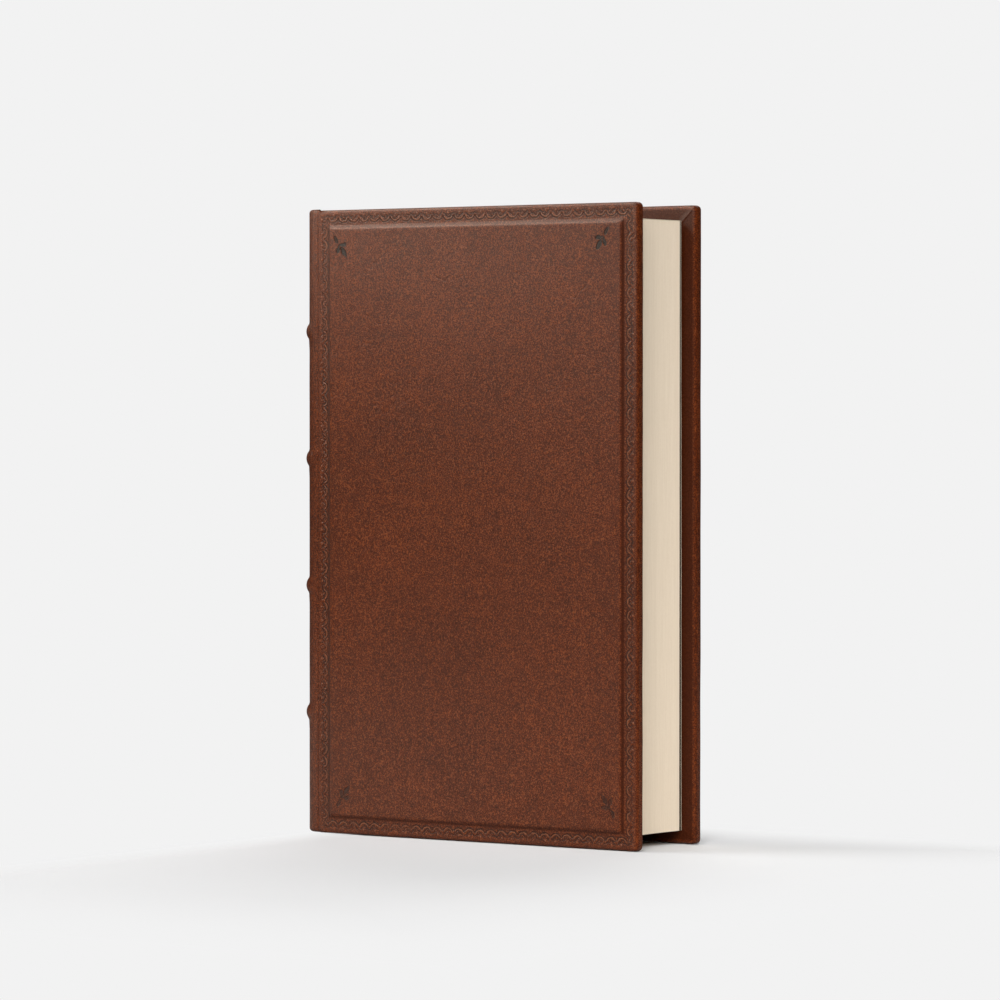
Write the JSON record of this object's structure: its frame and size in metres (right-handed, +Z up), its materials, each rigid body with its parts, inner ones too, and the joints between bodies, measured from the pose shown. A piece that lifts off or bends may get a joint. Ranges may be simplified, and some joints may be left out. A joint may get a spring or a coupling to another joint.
{
  "type": "leather-bound journal",
  "caption": "Hand-bound journal in brown leather, with a rounded spine, raised bands, raised cover panels and covers that open flat.",
  "frame": {"origin": "middle of the closed book's footprint, in the plane that the tail edges of the covers stand on", "axes": "+X from the spine to the fore-edge, +Y from the front cover to the back cover, +Z up from tail to head"},
  "size_m": [0.1404, 0.0394, 0.2104],
  "materials": {
    "leather": "waxed, fine grain",
    "pages": "matte, trimmed edges",
    "endpaper": "matte",
    "card": "matte",
    "lining_cloth": "open weave",
    "end_band_thread": "wound thread"
  },
  "bodies": {
    "book_block": {"text_block": "pages", "front_flyleaf": "endpaper", "back_flyleaf": "endpaper", "spine_lining": "lining_cloth", "head_band": "end_band_thread", "tail_band": "end_band_thread", "spine_liner": "card", "band_core_1": "card", "band_core_2": "card", "band_core_3": "card", "band_core_4": "card", "spine_leather": "leather"},
    "front_cover": {"front_board": "card", "front_panel_card": "card", "front_pastedown": "endpaper", "front_leather": "leather"},
    "back_cover": {"back_board": "card", "back_panel_card": "card", "back_pastedown": "endpaper", "back_leather": "leather"}
  },
  "joints": [
    {"name": "front_cover_hinge", "type": "hinge", "parent": "book_block", "child": "front_cover", "pos_m": [-0.05975, -0.01893, 0], "axis": [0, 0, -1], "range_deg": [0, 180]},
    {"name": "back_cover_hinge", "type": "hinge", "parent": "book_block", "child": "back_cover", "pos_m": [-0.05975, 0.01893, 0], "axis": [0, 0, 1], "range_deg": [0, 180]}
  ]
}
